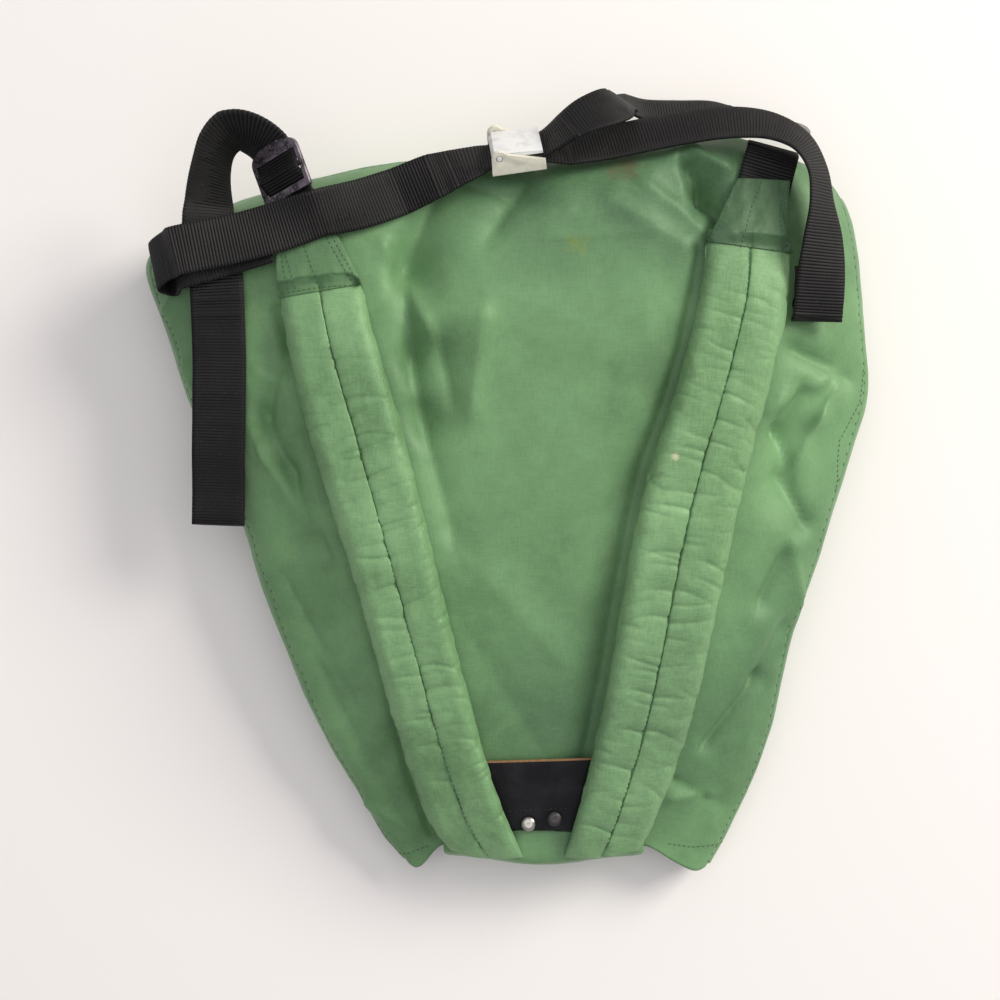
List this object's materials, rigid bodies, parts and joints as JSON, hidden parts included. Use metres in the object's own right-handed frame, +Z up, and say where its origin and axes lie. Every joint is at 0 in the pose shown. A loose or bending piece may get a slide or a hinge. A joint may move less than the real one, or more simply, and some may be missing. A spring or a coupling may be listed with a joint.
{
  "type": "hiking backpack",
  "caption": "Soft green daypack laid on its front, with padded shoulder straps, webbing hip belt with a closed cam buckle, ladder locks, a leather patch and a lid.",
  "frame": {"origin": "on the floor, in the middle of the rectangle of ground that the lying pack covers", "axes": "+Z up from the floor through the back panel, +Y from the bag's mouth towards its base, +X across the bag to the right as seen from above with the mouth nearest"},
  "size_m": [0.4392, 0.4698, 0.1137],
  "materials": {
    "nylon": "fine plain-woven nylon with a slight sheen",
    "webbing": "ribbed black webbing",
    "leather": "smooth black leather with tan raw edges",
    "nickel": "worn nickel plate",
    "steel": "worn dark plate over steel",
    "buckle_plastic": "moulded off-white plastic"
  },
  "bodies": {
    "root": {"back_panel": "nylon", "front_panel": "nylon", "side_panel_left": "nylon", "side_panel_right": "nylon", "base_panel": "nylon", "lid": "nylon", "shoulder_strap_left": "nylon", "shoulder_strap_right": "nylon", "strap_tab_left": "nylon", "strap_tab_right": "nylon", "leather_patch": "leather", "rivet_left": "nickel", "rivet_right": "nickel", "ladder_lock_left": "steel", "ladder_lock_right": "steel", "adjuster_left": "webbing", "strap_loop_right": "webbing", "belt_left": "webbing", "belt_right": "webbing", "belt_tail": "webbing", "buckle_frame": "buckle_plastic", "buckle_lever": "buckle_plastic"}
  },
  "joints": []
}
